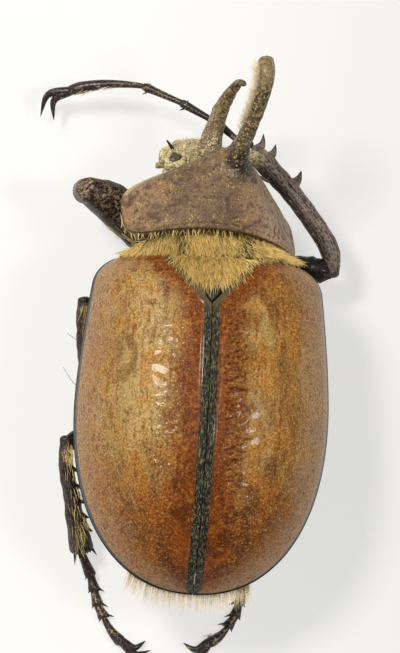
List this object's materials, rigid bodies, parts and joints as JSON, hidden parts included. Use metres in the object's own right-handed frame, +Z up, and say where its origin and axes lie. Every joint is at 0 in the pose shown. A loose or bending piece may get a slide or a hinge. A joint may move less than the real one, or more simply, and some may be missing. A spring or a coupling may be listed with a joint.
{
  "type": "golofa beetle",
  "caption": "Life-size dried horned beetle: brown wing cases with a dark seam, golden-haired collar, upright haired horn on the prothorax, slender head horn and long toothed forelegs.",
  "frame": {"origin": "on the floor under the middle of the box round the whole beetle", "axes": "+Y to the head, +X to the beetle's right, +Z up from the floor that the feet rest on"},
  "size_m": [0.0278, 0.0528, 0.0182],
  "materials": {
    "wing_case": "satin chestnut brown chitin with a greenish black seam and fine punctures",
    "shield": "finely punctured dull brown chitin",
    "horn": "worn brown horn, paler towards the tips",
    "head": "dusty brown chitin",
    "dark": "blackish brown glossy chitin",
    "eye": "smooth black",
    "hair_pad": "dense golden hair over brown chitin"
  },
  "bodies": {
    "root": {"left_elytron": "wing_case", "right_elytron": "wing_case", "scutellum": "hair_pad", "pterothorax": "dark", "abdomen": "dark", "pygidium": "wing_case", "mesothorax": "hair_pad", "prothorax": "shield", "head": "head", "pronotal_horn": "horn", "head_horn": "horn", "left_eye": "eye", "right_eye": "eye", "left_antenna": "dark", "left_palp": "dark", "left_mandible": "dark", "left_fore_coxa": "dark", "left_fore_femur": "dark", "left_fore_tibia": "dark", "left_fore_tarsus": "dark", "left_middle_coxa": "dark", "left_middle_femur": "dark", "left_middle_tibia": "dark", "left_middle_tarsus": "dark", "left_hind_coxa": "dark", "left_hind_femur": "dark", "left_hind_tibia": "dark", "left_hind_tarsus": "dark", "right_antenna": "dark", "right_palp": "dark", "right_mandible": "dark", "right_fore_coxa": "dark", "right_fore_femur": "dark", "right_fore_tibia": "dark", "right_fore_tarsus": "dark", "right_middle_coxa": "dark", "right_middle_femur": "dark", "right_middle_tibia": "dark", "right_middle_tarsus": "dark", "right_hind_coxa": "dark", "right_hind_femur": "dark", "right_hind_tibia": "dark", "right_hind_tarsus": "dark"}
  },
  "joints": []
}
